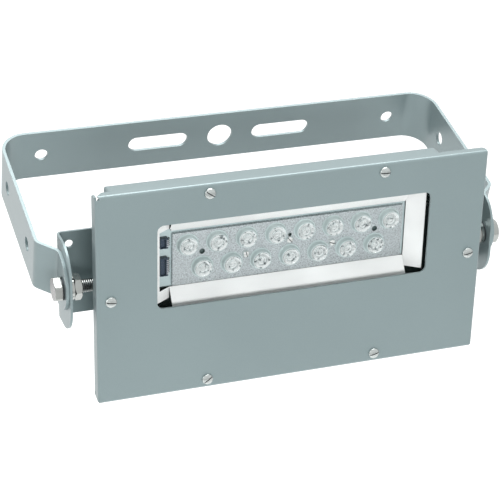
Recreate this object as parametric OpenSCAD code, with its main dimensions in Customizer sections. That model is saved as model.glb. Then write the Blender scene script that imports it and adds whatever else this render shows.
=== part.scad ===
// Outdoor wall washer light: a flat sealed head with one row window, held between the arms of a
// bent strap yoke. All sizes are millimetres.
// The yoke's wall face lies in the plane y = 0 and its centre hole is on the origin.
// The light faces -Y, and +Z is up.

/* [Light source] */
// Distance between neighbouring lenses of a row
lens_pitch = 22.5; // [21:0.1:24]
// Number of lenses in the top row; the bottom row has one less
top_lenses = 8; // [6:1:10]
// Distance between the two rows of lenses
row_gap = 19; // [18.5:0.1:21]
// Diameter of a lens at its foot
lens_d = 15.8; // [14:0.1:16.5]
// Height of a lens over the lens plate
lens_h = 4.3; // [3.5:0.1:5]
// Lens plate below the bottom row's centres
lens_plate_under = 13.1; // [11:0.1:14]
// Lens plate above the top row's centres
lens_plate_over = 9.9; // [9.5:0.1:11]

/* [Face plate] */
// Window beyond the lens plate at each side
window_side = 15.3; // [14:0.1:18]
// Window below the lens plate
window_under = 9.9; // [8:0.1:14]
// Window above the lens plate
window_over = 14.2; // [12:0.1:16]
// Corner radius of the window
window_r = 5; // [3:0.5:8]
// Plate beside the window
border_side = 44.7; // [43:0.1:60]
// Plate above the window
border_top = 27.8; // [27:0.1:35]
// Plate below the window
border_bottom = 71.1; // [68:0.1:80]
// Sheet thickness of the face plate
plate_t = 1.6; // [1.2:0.1:2]
// Depth of the plate's folded side rims, with the sheet
rim_side_depth = 10; // [8:0.1:14]
// Depth of its folded upper and lower rims, with the sheet
rim_top_depth = 7.1; // [6:0.1:14]
// Thread diameter of the cover screws
cover_screw_d = 4; // [3:0.5:5]
// Distance of the upper and lower cover screws from the middle
cover_screw_x = 66.8; // [50:0.1:90]

/* [Housing] */
// Flange of the housing beside its box
flange_side = 16.1; // [15:0.1:24]
// Flange of the housing above and below its box
flange_top = 12; // [11.5:0.5:16]
// Depth from the plate's front to the housing's back
box_depth = 51.3; // [50:0.1:60]
// Wall thickness of the housing
box_wall = 2.5; // [2:0.1:3]

/* [Yoke] */
// Width of the bent strap
strap_w = 43; // [36:0.5:50]
// Thickness of the strap
strap_t = 2.5; // [2:0.1:4]
// Distance from the wall face to the pivot axis
yoke_reach = 158.7; // [140:0.1:180]
// Distance from the face plate's side to the outer face of the tab that holds the bolt
tab_gap = 18.5; // [16:0.5:24]
// Outward step of the arm beyond the tab
jog_out = 13.75; // [8:0.25:18]
// Distance along the arm from the pivot to the jog's inner bend
jog_start = 17.1; // [16:0.1:24]
// Distance along the arm from the jog's inner bend to its outer bend
jog_run = 12.9; // [10:0.1:16]
// Outer radius of the two bends beside the web
web_bend_r = 21; // [16:0.5:26]
// Diameter of the centre hole in the web
centre_hole_d = 20.6; // [18:0.1:22.4]
// Length of a mounting slot, end to end
slot_len = 49; // [40:1:56]
// Width of a mounting slot
slot_w = 13; // [10:0.5:14]
// Distance from the centre hole to the middle of a slot
slot_x = 52; // [45:1:60]
// Diameter of the two small holes at the ends of the web
small_hole_d = 10.3; // [8:0.1:12]
// Distance from an arm's outer face to the small hole
small_hole_in = 34.95; // [33:0.05:45]
// Diameter of the holes in the arms
arm_hole_d = 11; // [8:0.5:12]
// Distance from the pivot to the arm's first hole
arm_hole_s = 52.9; // [50:0.1:60]
// Distance between the two holes of an arm
arm_hole_pitch = 66.8; // [50:0.1:70]

/* [Head bracket] */
// Thickness of the bracket that holds the head
ear_t = 1.8; // [1.5:0.1:4]
// Height of the bracket
bracket_h = 67; // [60:0.5:72]
// Depth of the pivot axis behind the plate's front
pivot_y = 26.6; // [24:0.1:30]
// Height of the pivot axis above the plate's middle
pivot_z = 2; // [-2:0.1:4]

/* [Pivot bolts] */
// Thread diameter of the pivot bolts
bolt_d = 9.9; // [8:0.1:10]
// Length of a pivot bolt under its head
bolt_len = 33.2; // [28:0.1:36]
// Width across the flats of the bolt head and nut
bolt_hex = 16.8; // [14:0.1:18]
// Thickness of the bolt head
bolt_head_h = 5.6; // [5:0.1:7]
// Thickness of the nut
pivot_nut_h = 5.4; // [4:0.1:9]
// Upward tilt of the head in the photographed pose, in degrees
rest_tilt = 14.7; // [-75:0.1:75]

/* [Hidden] */
$fn = 64;

// Clearances between parts that fit together
run_fit = 0.05;
screw_fit = 0.03;
hole_fit = 0.25;
part_gap = 0.6;
ear_gap = 0.02;

// Light source, window and plate, from the lenses outward; z is measured from the plate's middle
lens_plate_half = top_lenses * lens_pitch / 2;
lens_plate_h = lens_plate_under + row_gap + lens_plate_over;
window_half = lens_plate_half + window_side;
plate_w = 2 * (window_half + border_side);
plate_h = border_bottom + window_under + lens_plate_h + window_over + border_top;
window_z = [border_bottom - plate_h / 2, plate_h / 2 - border_top];
lens_plate_z = [window_z[0] + window_under, window_z[1] - window_over];
bottom_row_z = lens_plate_z[0] + lens_plate_under;
top_row_z = bottom_row_z + row_gap;
lens_taper = 0.8;
lens_rim = 0.7;
lens_bowl_depth = 2.4;
lens_spots = concat(
    [for (i = [0:top_lenses - 1]) [(i - (top_lenses - 1) / 2) * lens_pitch, top_row_z]],
    [for (i = [0:top_lenses - 2]) [(i - (top_lenses - 2) / 2) * lens_pitch, bottom_row_z]]);

// Rim of the face plate
rim_bend_r = plate_t + 0.4;
rim_top_gaps = [1.5, 6.5, 0.8];
rim_side_gaps = [1.4, 3, 1.4];
rim_corner_r = 3;
relief_r = 1.6;
drain_slot = [2.6, 1.2];
drain_up = 5.6;

// Layers from the plate backwards, as distances behind its front
seal_t = 3;
flange_y = plate_t + seal_t;
flange_t = 2.5;
glass_seal_t = 1.2;
glass_y = plate_t + glass_seal_t;
glass_t = 3;
glass_back = glass_y + glass_t;
flap_front = glass_back + 0.5;
flap_depth = 8.7;
flap_back = flap_front + flap_depth;
reflector_t = 0.8;
lens_plate_t = 3;
board_y = flap_back + 2;
lens_face = board_y - lens_plate_t;
board_t = 1.6;
pad_t = 0.3;
spreader_y = board_y + board_t + pad_t;
spreader_t = 3;
spreader_back = spreader_y + spreader_t;
box_back = box_depth - box_wall;

// Housing: its flange fits inside the plate's rim
rim_clear = 1.4;
flange_half_w = plate_w / 2 - plate_t - rim_clear;
flange_half_h = plate_h / 2 - plate_t - rim_clear;
flange_r = 4;
box_half_w = flange_half_w - flange_side;
box_half_h = flange_half_h - flange_top;
box_r = 3.5;
back_r = 3;
room_w = box_half_w - box_wall;
room_h = box_half_h - box_wall;

// Cover screws: pan heads with a slot, in the middle of the flange's free width
cover_screw_r = cover_screw_d / 2;
cover_head_r = cover_screw_r + 2.25;
cover_head_h = 2.4;
cover_nut_r = cover_screw_r + 2.4;
cover_nut_shank_r = cover_screw_r + 1;
cover_nut_h = 3.5;
cover_screw_len = flange_y + flange_t + cover_nut_h;
cover_side_x = flange_half_w - 7.5;
cover_top_z = flange_half_h - 4.3;
cover_spots = [for (x = [-1, 1], z = [-1, 1]) [x * cover_screw_x, z * cover_top_z]];
cover_all = concat(cover_spots, [[-cover_side_x, 0], [cover_side_x, 0]]);

// Glass, its seal and the clips that hold it
glass_lap = 7.7;
glass_seal_w = 5.5;
glass_half = window_half + glass_lap;
clip_t = 1;
clip_w = 12;
clip_grip = 5.5;
clip_end = 4.5;
clip_step = [1, 2];
clip_x_out = 6.5;
clip_up = 21.5;
stud_r = 1.5;
stud_nut_af = 5.5;
clip_x = glass_half + clip_x_out;
clip_middle_z = (window_z[0] + window_z[1]) / 2;
clip_spots = [for (x = [-1, 1], z = [-clip_up, clip_up]) [x * clip_x, clip_middle_z + z]];

// Reflector: the well round the light source and how far the four flaps flare. A notch
// in the left flap clears the connectors and leaves a strip along the free edge
well_x = [-lens_plate_half - 2, lens_plate_half + 2.4];
well_z = [lens_plate_z[0] - part_gap, lens_plate_z[1] + 2.1];
flap_half = lens_plate_half + 2;
flap_end_z = [lens_plate_z[0] - 9.5, lens_plate_z[1] + 11.5];
flare_x = [-window_half + 0.1, window_half - 0.7];
flare_z = [window_z[0] - 3.2, window_z[1] + 0.2];
notch_x = [-window_half + 4.3, well_x[0] + 1];
notch_z = [well_z[0], lens_plate_z[1] + 4];
reflector_half = window_half + 8.7;
reflector_z = [window_z[0] - 14.6, window_z[1] + 7.3];
reflector_screw_r = 1.5;
spacer_r = 3.5;
reflector_screw_spots = [for (x = [-1, 1], z = [reflector_z[0] + 4.5, reflector_z[1] - 22])
    [x * (reflector_half - 4.5), z]];

// Lens plate fixings and the board behind it
lens_screw_r = 1.25;
lens_screw_spots = [[-1.5 * lens_pitch, bottom_row_z + 5.2], [0, top_row_z - 7],
    [1.5 * lens_pitch, bottom_row_z + 5.2]];
lens_peg_r = 1.5;
lens_peg_spots = [[-3 * lens_pitch, top_row_z - 7], [3 * lens_pitch, top_row_z - 7]];
board_x = [-lens_plate_half - 10.5, lens_plate_half + 5];
board_z = [lens_plate_z[0] - 3, lens_plate_z[1] + 4.5];
plug_w = 6;
plug_h = 4.6;
small_plug_len = 8;
large_plug_len = 14.5;
small_plug_up = 35.5;
large_plug_up = 16.75;
small_plug_z = lens_plate_z[0] + small_plug_up;
large_plug_z = lens_plate_z[0] + large_plug_up;
plug_x = board_x[0] + 1;
pin_pitch = 1.75;
pin_t = 0.7;
pin_reach = 1.9;
lead_r = 1.1;
lead_lift = 0.1;
lead_arch = 16;
lead_out = 5;
lead_rise = 14;
board_lead_spots = [for (z = [-3, 3]) [plug_x + plug_w / 2 + 0.95, large_plug_z + z]];

// Bracket that holds the head; its ears lie inside the yoke's tabs
tab_half = plate_w / 2 + tab_gap;
ear_half = tab_half - strap_t - ear_gap;
bracket_half_h = bracket_h / 2;
bracket_z = pivot_z - 1;
nose_front = 14.3;
nose_r = 22.5;
nose_y = pivot_y - nose_front;
ear_bend = 2.5;
bracket_bend_r = ear_t / 2 + ear_bend;
bracket_flat_half = ear_half - ear_t - ear_bend;
bracket_hole_r = 3;
bracket_hole_side = 7.4;
bracket_hole_edge = 10.9;
bracket_hole_spots = [for (x = [-1, 1], z = [-1, 1])
    [x * (ear_half - ear_t - bracket_hole_side), pivot_z + z * (bracket_half_h - bracket_hole_edge)]];
bracket_screw_r = 3;
bracket_nut_h = 5;
bracket_screw_over = 0.5;
bracket_nut_af = 10;
bracket_screw_in = 44;
bracket_screw_up = 20;
bracket_head_r = 5.5;
bracket_head_h = 3.2;
bracket_screw_spots = [for (x = [-1, 1], z = [-1, 1])
    [x * (box_half_w - bracket_screw_in), pivot_z + z * bracket_screw_up]];

// Stack on the pivot bolt: a washer under the head, then a washer, a lock washer and the nut
// inside the ear
washer_t = 1.2;
washer_rim = 3.5;
washer_r = bolt_d / 2 + washer_rim;
lock_t = 2.3;
lock_rim = 3.9;
lock_r = bolt_d / 2 + lock_rim;
lock_gap = 1.8;
bolt_seat_x = tab_half + washer_t;
washer_x = ear_half - ear_t;
lock_x = washer_x - washer_t;
nut_x = lock_x - lock_t;

// Yoke
arm_half = tab_half + jog_out;
jog_end = jog_start + jog_run;
jog_r = 7;
tab_back = 8.7;
web_half = arm_half - web_bend_r;
small_hole_x = arm_half - small_hole_in;

// Posts that carry the heat spreader
post_af = 8;
post_screw_r = 2;
post_spots = [for (x = [-1, 1], z = [-box_half_h + 25.5, box_half_h - 13.5])
    [x * (box_half_w - 21), z]];
spreader_edge = 8;

// Driver on the inside of the housing's back
driver_len = 108;
driver_h = 42;
driver_gap = 4.9;
driver_depth = box_back - spreader_back - driver_gap;
driver_mid = [-8, pivot_z + 10];
driver_x = [driver_mid[0] - driver_len / 2, driver_mid[0] + driver_len / 2];
driver_z = [driver_mid[1] - driver_h / 2, driver_mid[1] + driver_h / 2];
driver_foot = 12;
driver_foot_t = 2;
driver_cap_t = 3;
driver_lead_y = box_back - driver_depth / 2 - driver_foot_t / 2;
driver_screw_spots = [[driver_x[0] - driver_foot / 2, driver_mid[1]],
    [driver_x[1] + driver_foot / 2, driver_mid[1]]];
small_screw_r = 1.5;
small_screw_grip = 2;

// Terminal block, earth screw, cable gland and vent along the lower back
low_z = -box_half_h + 18.5;
block_ways = 3;
block_pitch = 9;
block_half = block_ways * block_pitch / 2;
block_mid = [28, low_z + 3];
block_half_h = 8;
block_depth = 13;
block_ear = 6.5;
block_base_t = 3;
block_front = box_back - block_depth;
block_wire_y = block_front + 7;
block_top = block_mid[1] + block_half_h;
block_grip = 5;
block_way_x = [for (i = [0:block_ways - 1]) block_mid[0] + (i - (block_ways - 1) / 2) * block_pitch];
block_screw_spots = [for (side = [-1, 1])
    [block_mid[0] + side * (block_half + block_ear / 2 + 0.4), block_mid[1]]];
clamp_screw_r = 2.2;
earth_spot = [66, low_z + 3];
ring_t = 1;
ring_r = 4.2;
gland_spot = [-30, low_z];
gland_thread_r = 8;
gland_neck_r = 7.4;
gland_seal_r = 6;
gland_bore_r = 4.5;
gland_af = 19;
gland_collar = 5;
gland_neck = 9;
gland_cap_len = 13;
gland_nut_h = 5;
gland_y = box_depth + gland_collar;
vent_spot = [88, low_z];
vent_thread_r = 6;
vent_head_r = 8;
vent_nut_af = 15;
vent_nut_h = 4;

// Unit vector, left normal and rotated vector in the plane
function unit(v) = v / norm(v);
function left(v) = [-v[1], v[0]];
function turned(v, a) = [v[0] * cos(a) - v[1] * sin(a), v[0] * sin(a) + v[1] * cos(a)];
function reversed(list) = [for (i = [len(list) - 1:-1:0]) list[i]];

// Points of one rounded bend: off is the distance to the left of the strip's middle line
function bend_points(before, corner, after, r, off, steps = 8) =
    let (a = unit(corner - before), b = unit(after - corner))
    let (turn = atan2(a[0] * b[1] - a[1] * b[0], a * b), side = sign(turn))
    let (centre = corner - a * r * tan(abs(turn) / 2) + left(a) * side * r)
    [for (k = [0:steps]) centre + turned(-side * left(a), turn * k / steps) * (r - side * off)];

// Points along one side of a strip that follows a path; radii holds one bend radius per corner
function side_points(path, radii, off) =
    let (last = len(path) - 1)
    concat(
        [path[0] + left(unit(path[1] - path[0])) * off],
        [for (i = [1:last - 1])
            each bend_points(path[i - 1], path[i], path[i + 1], radii[i - 1], off)],
        [path[last] + left(unit(path[last] - path[last - 1])) * off]);

// Flat outline of a sheet of thickness t that follows a path with rounded bends
module bent_strip(path, radii, t) {
    polygon(concat(side_points(path, radii, t / 2), reversed(side_points(path, radii, -t / 2))));
}

// Rectangle from x and z ranges with round corners
module round_rect(x, z, r) {
    translate([x[0] + r, z[0]]) square([x[1] - x[0] - 2 * r, z[1] - z[0]]);
    translate([x[0], z[0] + r]) square([x[1] - x[0], z[1] - z[0] - 2 * r]);
    for (px = [x[0] + r, x[1] - r], pz = [z[0] + r, z[1] - r])
        translate([px, pz]) circle(r);
}

module middle_rect(half_w, half_h, r) {
    round_rect([-half_w, half_w], [-half_h, half_h], r);
}

// A flat outline in x and z, made solid between two distances behind the plate's front
module slab(y0, y1) {
    translate([0, y1, 0]) rotate([90, 0, 0]) linear_extrude(y1 - y0) children();
}

// An outline in y and z, made solid between two x values
module bar_x(x0, x1) {
    translate([x0, 0, 0]) rotate([90, 0, 90]) linear_extrude(x1 - x0) children();
}

// An outline in x and y, made solid between two heights
module bar_z(z0, z1) {
    translate([0, 0, z0]) linear_extrude(z1 - z0) children();
}

// Round and hexagonal pins from front to back at [x, z]; af is the width across the flats
module pin_y(spot, y0, y1, r) {
    translate([spot[0], y0, spot[1]]) rotate([-90, 0, 0]) cylinder(h = y1 - y0, r = r);
}

module hex_y(spot, y0, y1, af) {
    translate([spot[0], y0, spot[1]]) rotate([-90, 0, 0])
        cylinder(h = y1 - y0, r = af / 2 / cos(30), $fn = 6);
}

// Round and hexagonal pins along the pivot axis
module pin_x(x0, x1, r) {
    translate([x0, 0, 0]) rotate([0, 90, 0]) cylinder(h = x1 - x0, r = r);
}

module hex_x(x0, x1, af) {
    translate([x0, 0, 0]) rotate([0, 90, 0]) cylinder(h = x1 - x0, r = af / 2 / cos(30), $fn = 6);
}

// Ring from front to back
module ring_y(spot, y0, y1, r_out, r_in) {
    difference() {
        pin_y(spot, y0, y1, r_out);
        pin_y(spot, y0 - 1, y1 + 1, r_in);
    }
}

// Round holes through everything between two distances behind the plate's front
module holes_y(spots, y0, y1, r) {
    for (spot = spots)
        pin_y(spot, y0 - 1, y1 + 1, r);
}

// Slotted pan head screw whose head stands in front of seat_y; the shank runs back to tip_y
module pan_screw(spot, seat_y, tip_y, r, head_r, head_h) {
    dome_r = (head_r * head_r + head_h * head_h) / (2 * head_h) * 1.2;
    difference() {
        union() {
            pin_y(spot, seat_y, tip_y, r);
            intersection() {
                pin_y(spot, seat_y - head_h, seat_y, head_r);
                translate([spot[0], seat_y - head_h + dome_r, spot[1]]) sphere(dome_r);
            }
        }
        translate([spot[0], seat_y - head_h, spot[1]]) rotate([0, 40, 0])
            cube([head_r * 3, head_h, head_r * 0.28], center = true);
    }
}

// The same screw driven from behind
module back_screw(spot, seat_y, tip_y, r, head_r, head_h) {
    translate([0, 2 * seat_y, 0]) mirror([0, 1, 0])
        pan_screw(spot, seat_y, 2 * seat_y - tip_y, r, head_r, head_h);
}

// Round lead through a list of points, with a ball a little larger than the lead at each bend
module lead(points) {
    for (i = [0:len(points) - 2]) {
        run = points[i + 1] - points[i];
        translate(points[i]) rotate([0, acos(run[2] / norm(run)), atan2(run[1], run[0])])
            cylinder(h = norm(run), r = lead_r, $fn = 24);
    }
    for (i = [1:1:len(points) - 2])
        translate(points[i]) sphere(lead_r + 0.08, $fn = 24);
}

// Places the head, tilted up by rest_tilt about the pivot axis
module in_head() {
    translate([0, -yoke_reach, 0]) rotate([-rest_tilt, 0, 0]) translate([0, -pivot_y, -pivot_z])
        children();
}

// Copies a part on the +X side to both sides
module both_sides() {
    children();
    mirror([1, 0, 0]) children();
}

// Turns a part on the x axis into one part on each pivot
module on_pivots() {
    translate([0, -yoke_reach, 0]) both_sides() children();
}

// Slot through the web with round ends, its middle at x
module wall_slot(x) {
    reach = (slot_len - slot_w) / 2;
    holes_y([[x - reach, 0], [x + reach, 0]], -strap_t, 0, slot_w / 2);
    slab(-strap_t - 1, 1) translate([x, 0]) square([2 * reach, slot_w], center = true);
}

// The strap is bent from one bar and kept as three lengths that meet where its bends start
module strap() {
    arm_x = arm_half - strap_t / 2;
    tab_x = tab_half - strap_t / 2;
    tab_r = strap_w / 2;
    web_r = web_bend_r - strap_t / 2;
    half = [[arm_x, -strap_t / 2], [arm_x, jog_end - yoke_reach], [tab_x, jog_start - yoke_reach],
        [tab_x, -yoke_reach - tab_r]];
    round_y = tab_back - yoke_reach;
    path = concat([for (p = reversed(half)) [-p[0], p[1]]], half);
    difference() {
        intersection() {
            bar_z(-tab_r, tab_r) bent_strip(path, [jog_r, jog_r, web_r, web_r, jog_r, jog_r], strap_t);
            bar_x(-arm_half - 1, arm_half + 1) {
                translate([round_y, 0]) circle(tab_r);
                translate([round_y, -tab_r]) square([1 - round_y, strap_w]);
            }
        }
        holes_y([[0, 0]], -strap_t, 0, centre_hole_d / 2);
        holes_y([[-small_hole_x, 0], [small_hole_x, 0]], -strap_t, 0, small_hole_d / 2);
        for (x = [-slot_x, slot_x])
            wall_slot(x);
        on_pivots() {
            pin_x(tab_half - strap_t - 1, tab_half + 1, bolt_d / 2 + run_fit);
            for (s = [arm_hole_s, arm_hole_s + arm_hole_pitch])
                translate([0, s, 0]) pin_x(arm_half - strap_t - 1, arm_half + 1, arm_hole_d / 2);
        }
    }
}

module strap_length(x0, x1) {
    color("silver") intersection() {
        strap();
        bar_x(x0, x1) translate([-yoke_reach - strap_w, -strap_w])
            square([yoke_reach + 2 * strap_w, 2 * strap_w]);
    }
}

module yoke_web() {
    strap_length(-web_half, web_half);
}

module yoke_left_arm() {
    strap_length(-arm_half - 1, -web_half);
}

module yoke_right_arm() {
    strap_length(web_half, arm_half + 1);
}

module pivot_bolts() {
    chamfer_x = bolt_seat_x - 10.2;
    color("gainsboro") on_pivots() {
        pin_x(bolt_seat_x - bolt_len, bolt_seat_x, bolt_d / 2);
        intersection() {
            hex_x(bolt_seat_x, bolt_seat_x + bolt_head_h, bolt_hex);
            translate([chamfer_x, 0, 0])
                sphere(norm([bolt_seat_x + bolt_head_h - chamfer_x, bolt_hex * 0.52]));
        }
    }
}

module pivot_washers() {
    color("gainsboro") on_pivots() difference() {
        for (x = [tab_half, lock_x])
            pin_x(x, x + washer_t, washer_r);
        pin_x(lock_x - 1, bolt_seat_x + 1, bolt_d / 2 + run_fit);
    }
}

module pivot_lock_washers() {
    color("silver") on_pivots() difference() {
        pin_x(nut_x, lock_x, lock_r);
        pin_x(nut_x - 1, lock_x + 1, bolt_d / 2 + run_fit);
        translate([(nut_x + lock_x) / 2, 0, lock_r]) rotate([0, 0, 20])
            cube([3 * lock_t, lock_gap, 2 * lock_r - bolt_d + 3], center = true);
    }
}

module pivot_nuts() {
    color("gainsboro") on_pivots() difference() {
        intersection() {
            hex_x(nut_x - pivot_nut_h, nut_x, bolt_hex);
            translate([nut_x + 10.2 - pivot_nut_h, 0, 0]) sphere(norm([10.2, bolt_hex * 0.52]));
        }
        pin_x(nut_x - pivot_nut_h - 1, nut_x + 1, bolt_d / 2 + screw_fit);
    }
}

// One folded edge of the face plate along x: the bend and the rim, reaching up to z = reach.
// Gaps are from the plate's corners to the rim: left at the sheet, left at its free edge, right.
module rim_edge(half, gaps, reach, depth) {
    middle = plate_t / 2;
    front = gaps[0] - half;
    back = gaps[1] - half;
    right = half - gaps[2];
    intersection() {
        bar_x(front, right) bent_strip([[middle, reach - 2 * rim_bend_r],
            [middle, reach - middle], [depth, reach - middle]], [rim_bend_r - middle], plate_t);
        bar_z(0, reach + 1) polygon(side_points([[right, -plate_t], [right, depth], [back, depth],
            [front, plate_t], [front, -plate_t]], [rim_corner_r, 1.5, 1], 0));
    }
}

module face_plate() {
    half_w = plate_w / 2;
    half_h = plate_h / 2;
    color("lightslategray") in_head() difference() {
        union() {
            slab(0, plate_t)
                square([plate_w - 2 * rim_bend_r, plate_h - 2 * rim_bend_r], center = true);
            for (turn = [0, 180])
                rotate([0, turn, 0]) rim_edge(half_w, rim_top_gaps, half_h, rim_top_depth);
            for (turn = [-90, 90])
                rotate([0, turn, 0]) rim_edge(half_h, rim_side_gaps, half_w, rim_side_depth);
        }
        slab(-1, plate_t + 1) round_rect([-window_half, window_half], window_z, window_r);
        holes_y(cover_all, 0, plate_t, cover_screw_r + hole_fit);
        holes_y([[relief_r - half_w, half_h - relief_r]], 0, plate_t, relief_r);
        for (x = [-half_w, half_w])
            translate([x, rim_side_depth - 2.4, drain_up - half_h])
                cube([4 * plate_t, drain_slot[1], drain_slot[0]], center = true);
    }
}

module cover_screws() {
    color("gainsboro") in_head() for (spot = cover_all)
        pan_screw(spot, 0, cover_screw_len, cover_screw_r, cover_head_r, cover_head_h);
}

module cover_seal() {
    color("dimgray") in_head() difference() {
        slab(plate_t, flange_y) difference() {
            middle_rect(flange_half_w - part_gap, flange_half_h - part_gap, flange_r);
            middle_rect(room_w, room_h, box_r - box_wall);
        }
        holes_y(cover_all, plate_t, flange_y, cover_screw_r + hole_fit);
    }
}

module cover_nuts() {
    flange_back = flange_y + flange_t;
    color("silver") in_head() for (spot = cover_all) difference() {
        union() {
            pin_y(spot, flange_y, flange_back, cover_nut_shank_r);
            pin_y(spot, flange_back, flange_back + cover_nut_h, cover_nut_r);
        }
        pin_y(spot, flange_y - 1, flange_back + cover_nut_h + 1, cover_screw_r + screw_fit);
    }
}

module glass_outline(grow) {
    round_rect([-window_half - grow, window_half + grow], [window_z[0] - grow, window_z[1] + grow],
        window_r + 1);
}

module window_glass() {
    color([0.8, 0.92, 0.9, 0.35]) in_head() slab(glass_y, glass_back) glass_outline(glass_lap);
}

module glass_seal() {
    color("dimgray") in_head() slab(plate_t, glass_y) difference() {
        glass_outline(glass_lap);
        glass_outline(glass_lap - glass_seal_w);
    }
}

// Z-shaped clips: the foot lies on the plate's back and the other end on the glass
module glass_clips() {
    grip_y = glass_back + clip_t / 2;
    foot_y = plate_t + clip_t / 2;
    path = [[clip_x + clip_end, foot_y], [glass_half + clip_step[1], foot_y],
        [glass_half + clip_step[0], grip_y], [glass_half - clip_grip, grip_y]];
    color("silver") in_head() difference() {
        both_sides() for (spot = clip_spots)
            if (spot[0] > 0)
                bar_z(spot[1] - clip_w / 2, spot[1] + clip_w / 2) bent_strip(path, [0.8, 0.8], clip_t);
        holes_y(clip_spots, plate_t, plate_t + clip_t, stud_r + hole_fit);
    }
}

module clip_studs() {
    color("silver") in_head() for (spot = clip_spots)
        pin_y(spot, plate_t, plate_t + 6, stud_r);
}

module clip_nuts() {
    color("gainsboro") in_head() difference() {
        for (spot = clip_spots)
            hex_y(spot, plate_t + clip_t, plate_t + clip_t + 2.4, stud_nut_af);
        holes_y(clip_spots, plate_t, plate_t + 6, stud_r + screw_fit);
    }
}

// Section of one flared flap: its root lies on the well's edge and its free edge at the front
module flap_outline(root, tip) {
    skin = left(unit([tip - root, flap_front - flap_back])) * reflector_t * sign(tip - root);
    polygon([[root, flap_back], [tip, flap_front], [tip, flap_front] + skin, [root, flap_back] + skin]);
}

module reflector() {
    color("white") in_head() difference() {
        union() {
            slab(flap_back, flap_back + reflector_t) difference() {
                round_rect([-reflector_half, reflector_half], reflector_z, 4);
                translate([well_x[0], well_z[0]])
                    square([well_x[1] - well_x[0], well_z[1] - well_z[0]]);
            }
            for (i = [0, 1]) {
                bar_z(flap_end_z[0], flap_end_z[1]) flap_outline(well_x[i], flare_x[i]);
                rotate([0, -90, 0]) bar_z(-flap_half, flap_half) flap_outline(well_z[i], flare_z[i]);
            }
        }
        slab(flap_front, flap_back + 2 * reflector_t) translate([notch_x[0], notch_z[0]])
            square([notch_x[1] - notch_x[0], notch_z[1] - notch_z[0]]);
        holes_y(reflector_screw_spots, flap_back, flap_back + reflector_t, reflector_screw_r + hole_fit);
    }
}

module reflector_spacers() {
    color("whitesmoke") in_head() for (spot = reflector_screw_spots)
        ring_y(spot, flap_back + reflector_t, spreader_y, spacer_r, reflector_screw_r + hole_fit);
}

module reflector_screws() {
    color("gainsboro") in_head() for (spot = reflector_screw_spots)
        pan_screw(spot, flap_back, spreader_back, reflector_screw_r, 2.9, 1.8);
}

// One lens: a slightly tapered cup with a shallow bowl, standing on the lens plate's face
module lens_cup(spot) {
    top_r = lens_d / 2 - lens_taper;
    bowl_r = top_r - lens_rim;
    ball_r = (bowl_r * bowl_r + lens_bowl_depth * lens_bowl_depth) / (2 * lens_bowl_depth);
    difference() {
        translate([spot[0], lens_face, spot[1]]) rotate([90, 0, 0])
            cylinder(h = lens_h, r1 = lens_d / 2, r2 = top_r);
        translate([spot[0], lens_face - lens_h + lens_bowl_depth - ball_r, spot[1]]) sphere(ball_r);
    }
}

module lens_plate() {
    color("lightgray") in_head() difference() {
        union() {
            slab(lens_face, board_y) round_rect([-lens_plate_half, lens_plate_half], lens_plate_z, 1);
            for (spot = lens_spots)
                lens_cup(spot);
        }
        for (spot = lens_spots)
            pin_y(spot, board_y - 1.8, board_y + 1, 3.2);
        holes_y(lens_screw_spots, lens_face, board_y, lens_screw_r + hole_fit);
        holes_y(lens_peg_spots, lens_face, board_y, lens_peg_r);
    }
}

module lens_screws() {
    color("gainsboro") in_head() for (spot = lens_screw_spots)
        pan_screw(spot, lens_face, spreader_back, lens_screw_r, 2.3, 1.4);
}

// Outline shared by the board and the pad behind it
module board_outline() {
    difference() {
        translate([board_x[0], board_z[0]])
            square([board_x[1] - board_x[0], board_z[1] - board_z[0]]);
        for (spot = lens_screw_spots)
            translate(spot) circle(lens_screw_r + hole_fit);
        for (spot = board_lead_spots)
            translate(spot) circle(lead_r + hole_fit);
    }
}

module led_board() {
    color("honeydew") in_head() slab(board_y, board_y + board_t) board_outline();
}

module leds() {
    package_w = 3.4;
    package_t = 0.7;
    lens_r = 1.625;
    front = board_y - package_t;
    color("khaki") in_head() for (spot = lens_spots) {
        slab(front, board_y) translate(spot) square(package_w, center = true);
        intersection() {
            pin_y(spot, front - 0.8, front, 1.4);
            translate([spot[0], front - 0.8 + lens_r, spot[1]]) sphere(lens_r);
        }
    }
}

module plug(middle_z, length) {
    color("darkslategray") in_head() slab(board_y - plug_h, board_y)
        translate([plug_x, middle_z - length / 2]) square([plug_w, length]);
}

module small_connector() {
    plug(small_plug_z, small_plug_len);
}

module large_connector() {
    plug(large_plug_z, large_plug_len);
}

// Rows of contact pins that bend from the plugs' sides down onto the board
module connector_pins() {
    lift = 1;
    plugs = [[small_plug_z, small_plug_len], [large_plug_z, large_plug_len]];
    color("silver") in_head() for (plug = plugs) {
        count = floor((plug[1] - 1) / pin_pitch);
        for (i = [0:count - 1])
            translate([plug_x + plug_w, 0, plug[0] + (i - (count - 1) / 2) * pin_pitch])
                bar_z(-pin_t / 2, pin_t / 2) {
                    translate([0, board_y - lift - pin_t]) square([pin_reach, pin_t]);
                    translate([pin_reach - pin_t, board_y - lift - pin_t]) square([pin_t, lift + pin_t]);
                }
    }
}

module thermal_pad() {
    color("lightsteelblue") in_head() slab(board_y + board_t, spreader_y) board_outline();
}

module heat_spreader() {
    color("silver") in_head() difference() {
        slab(spreader_y, spreader_back)
            round_rect([post_spots[0][0] - spreader_edge, post_spots[3][0] + spreader_edge],
                [post_spots[0][1] - spreader_edge, post_spots[3][1] + spreader_edge], 3);
        holes_y(lens_screw_spots, spreader_y, spreader_back, lens_screw_r + screw_fit);
        holes_y(reflector_screw_spots, spreader_y, spreader_back, reflector_screw_r + screw_fit);
        holes_y(post_spots, spreader_y, spreader_back, post_screw_r + hole_fit);
        holes_y(board_lead_spots, spreader_y, spreader_back, 2 * lead_r);
    }
}

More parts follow.
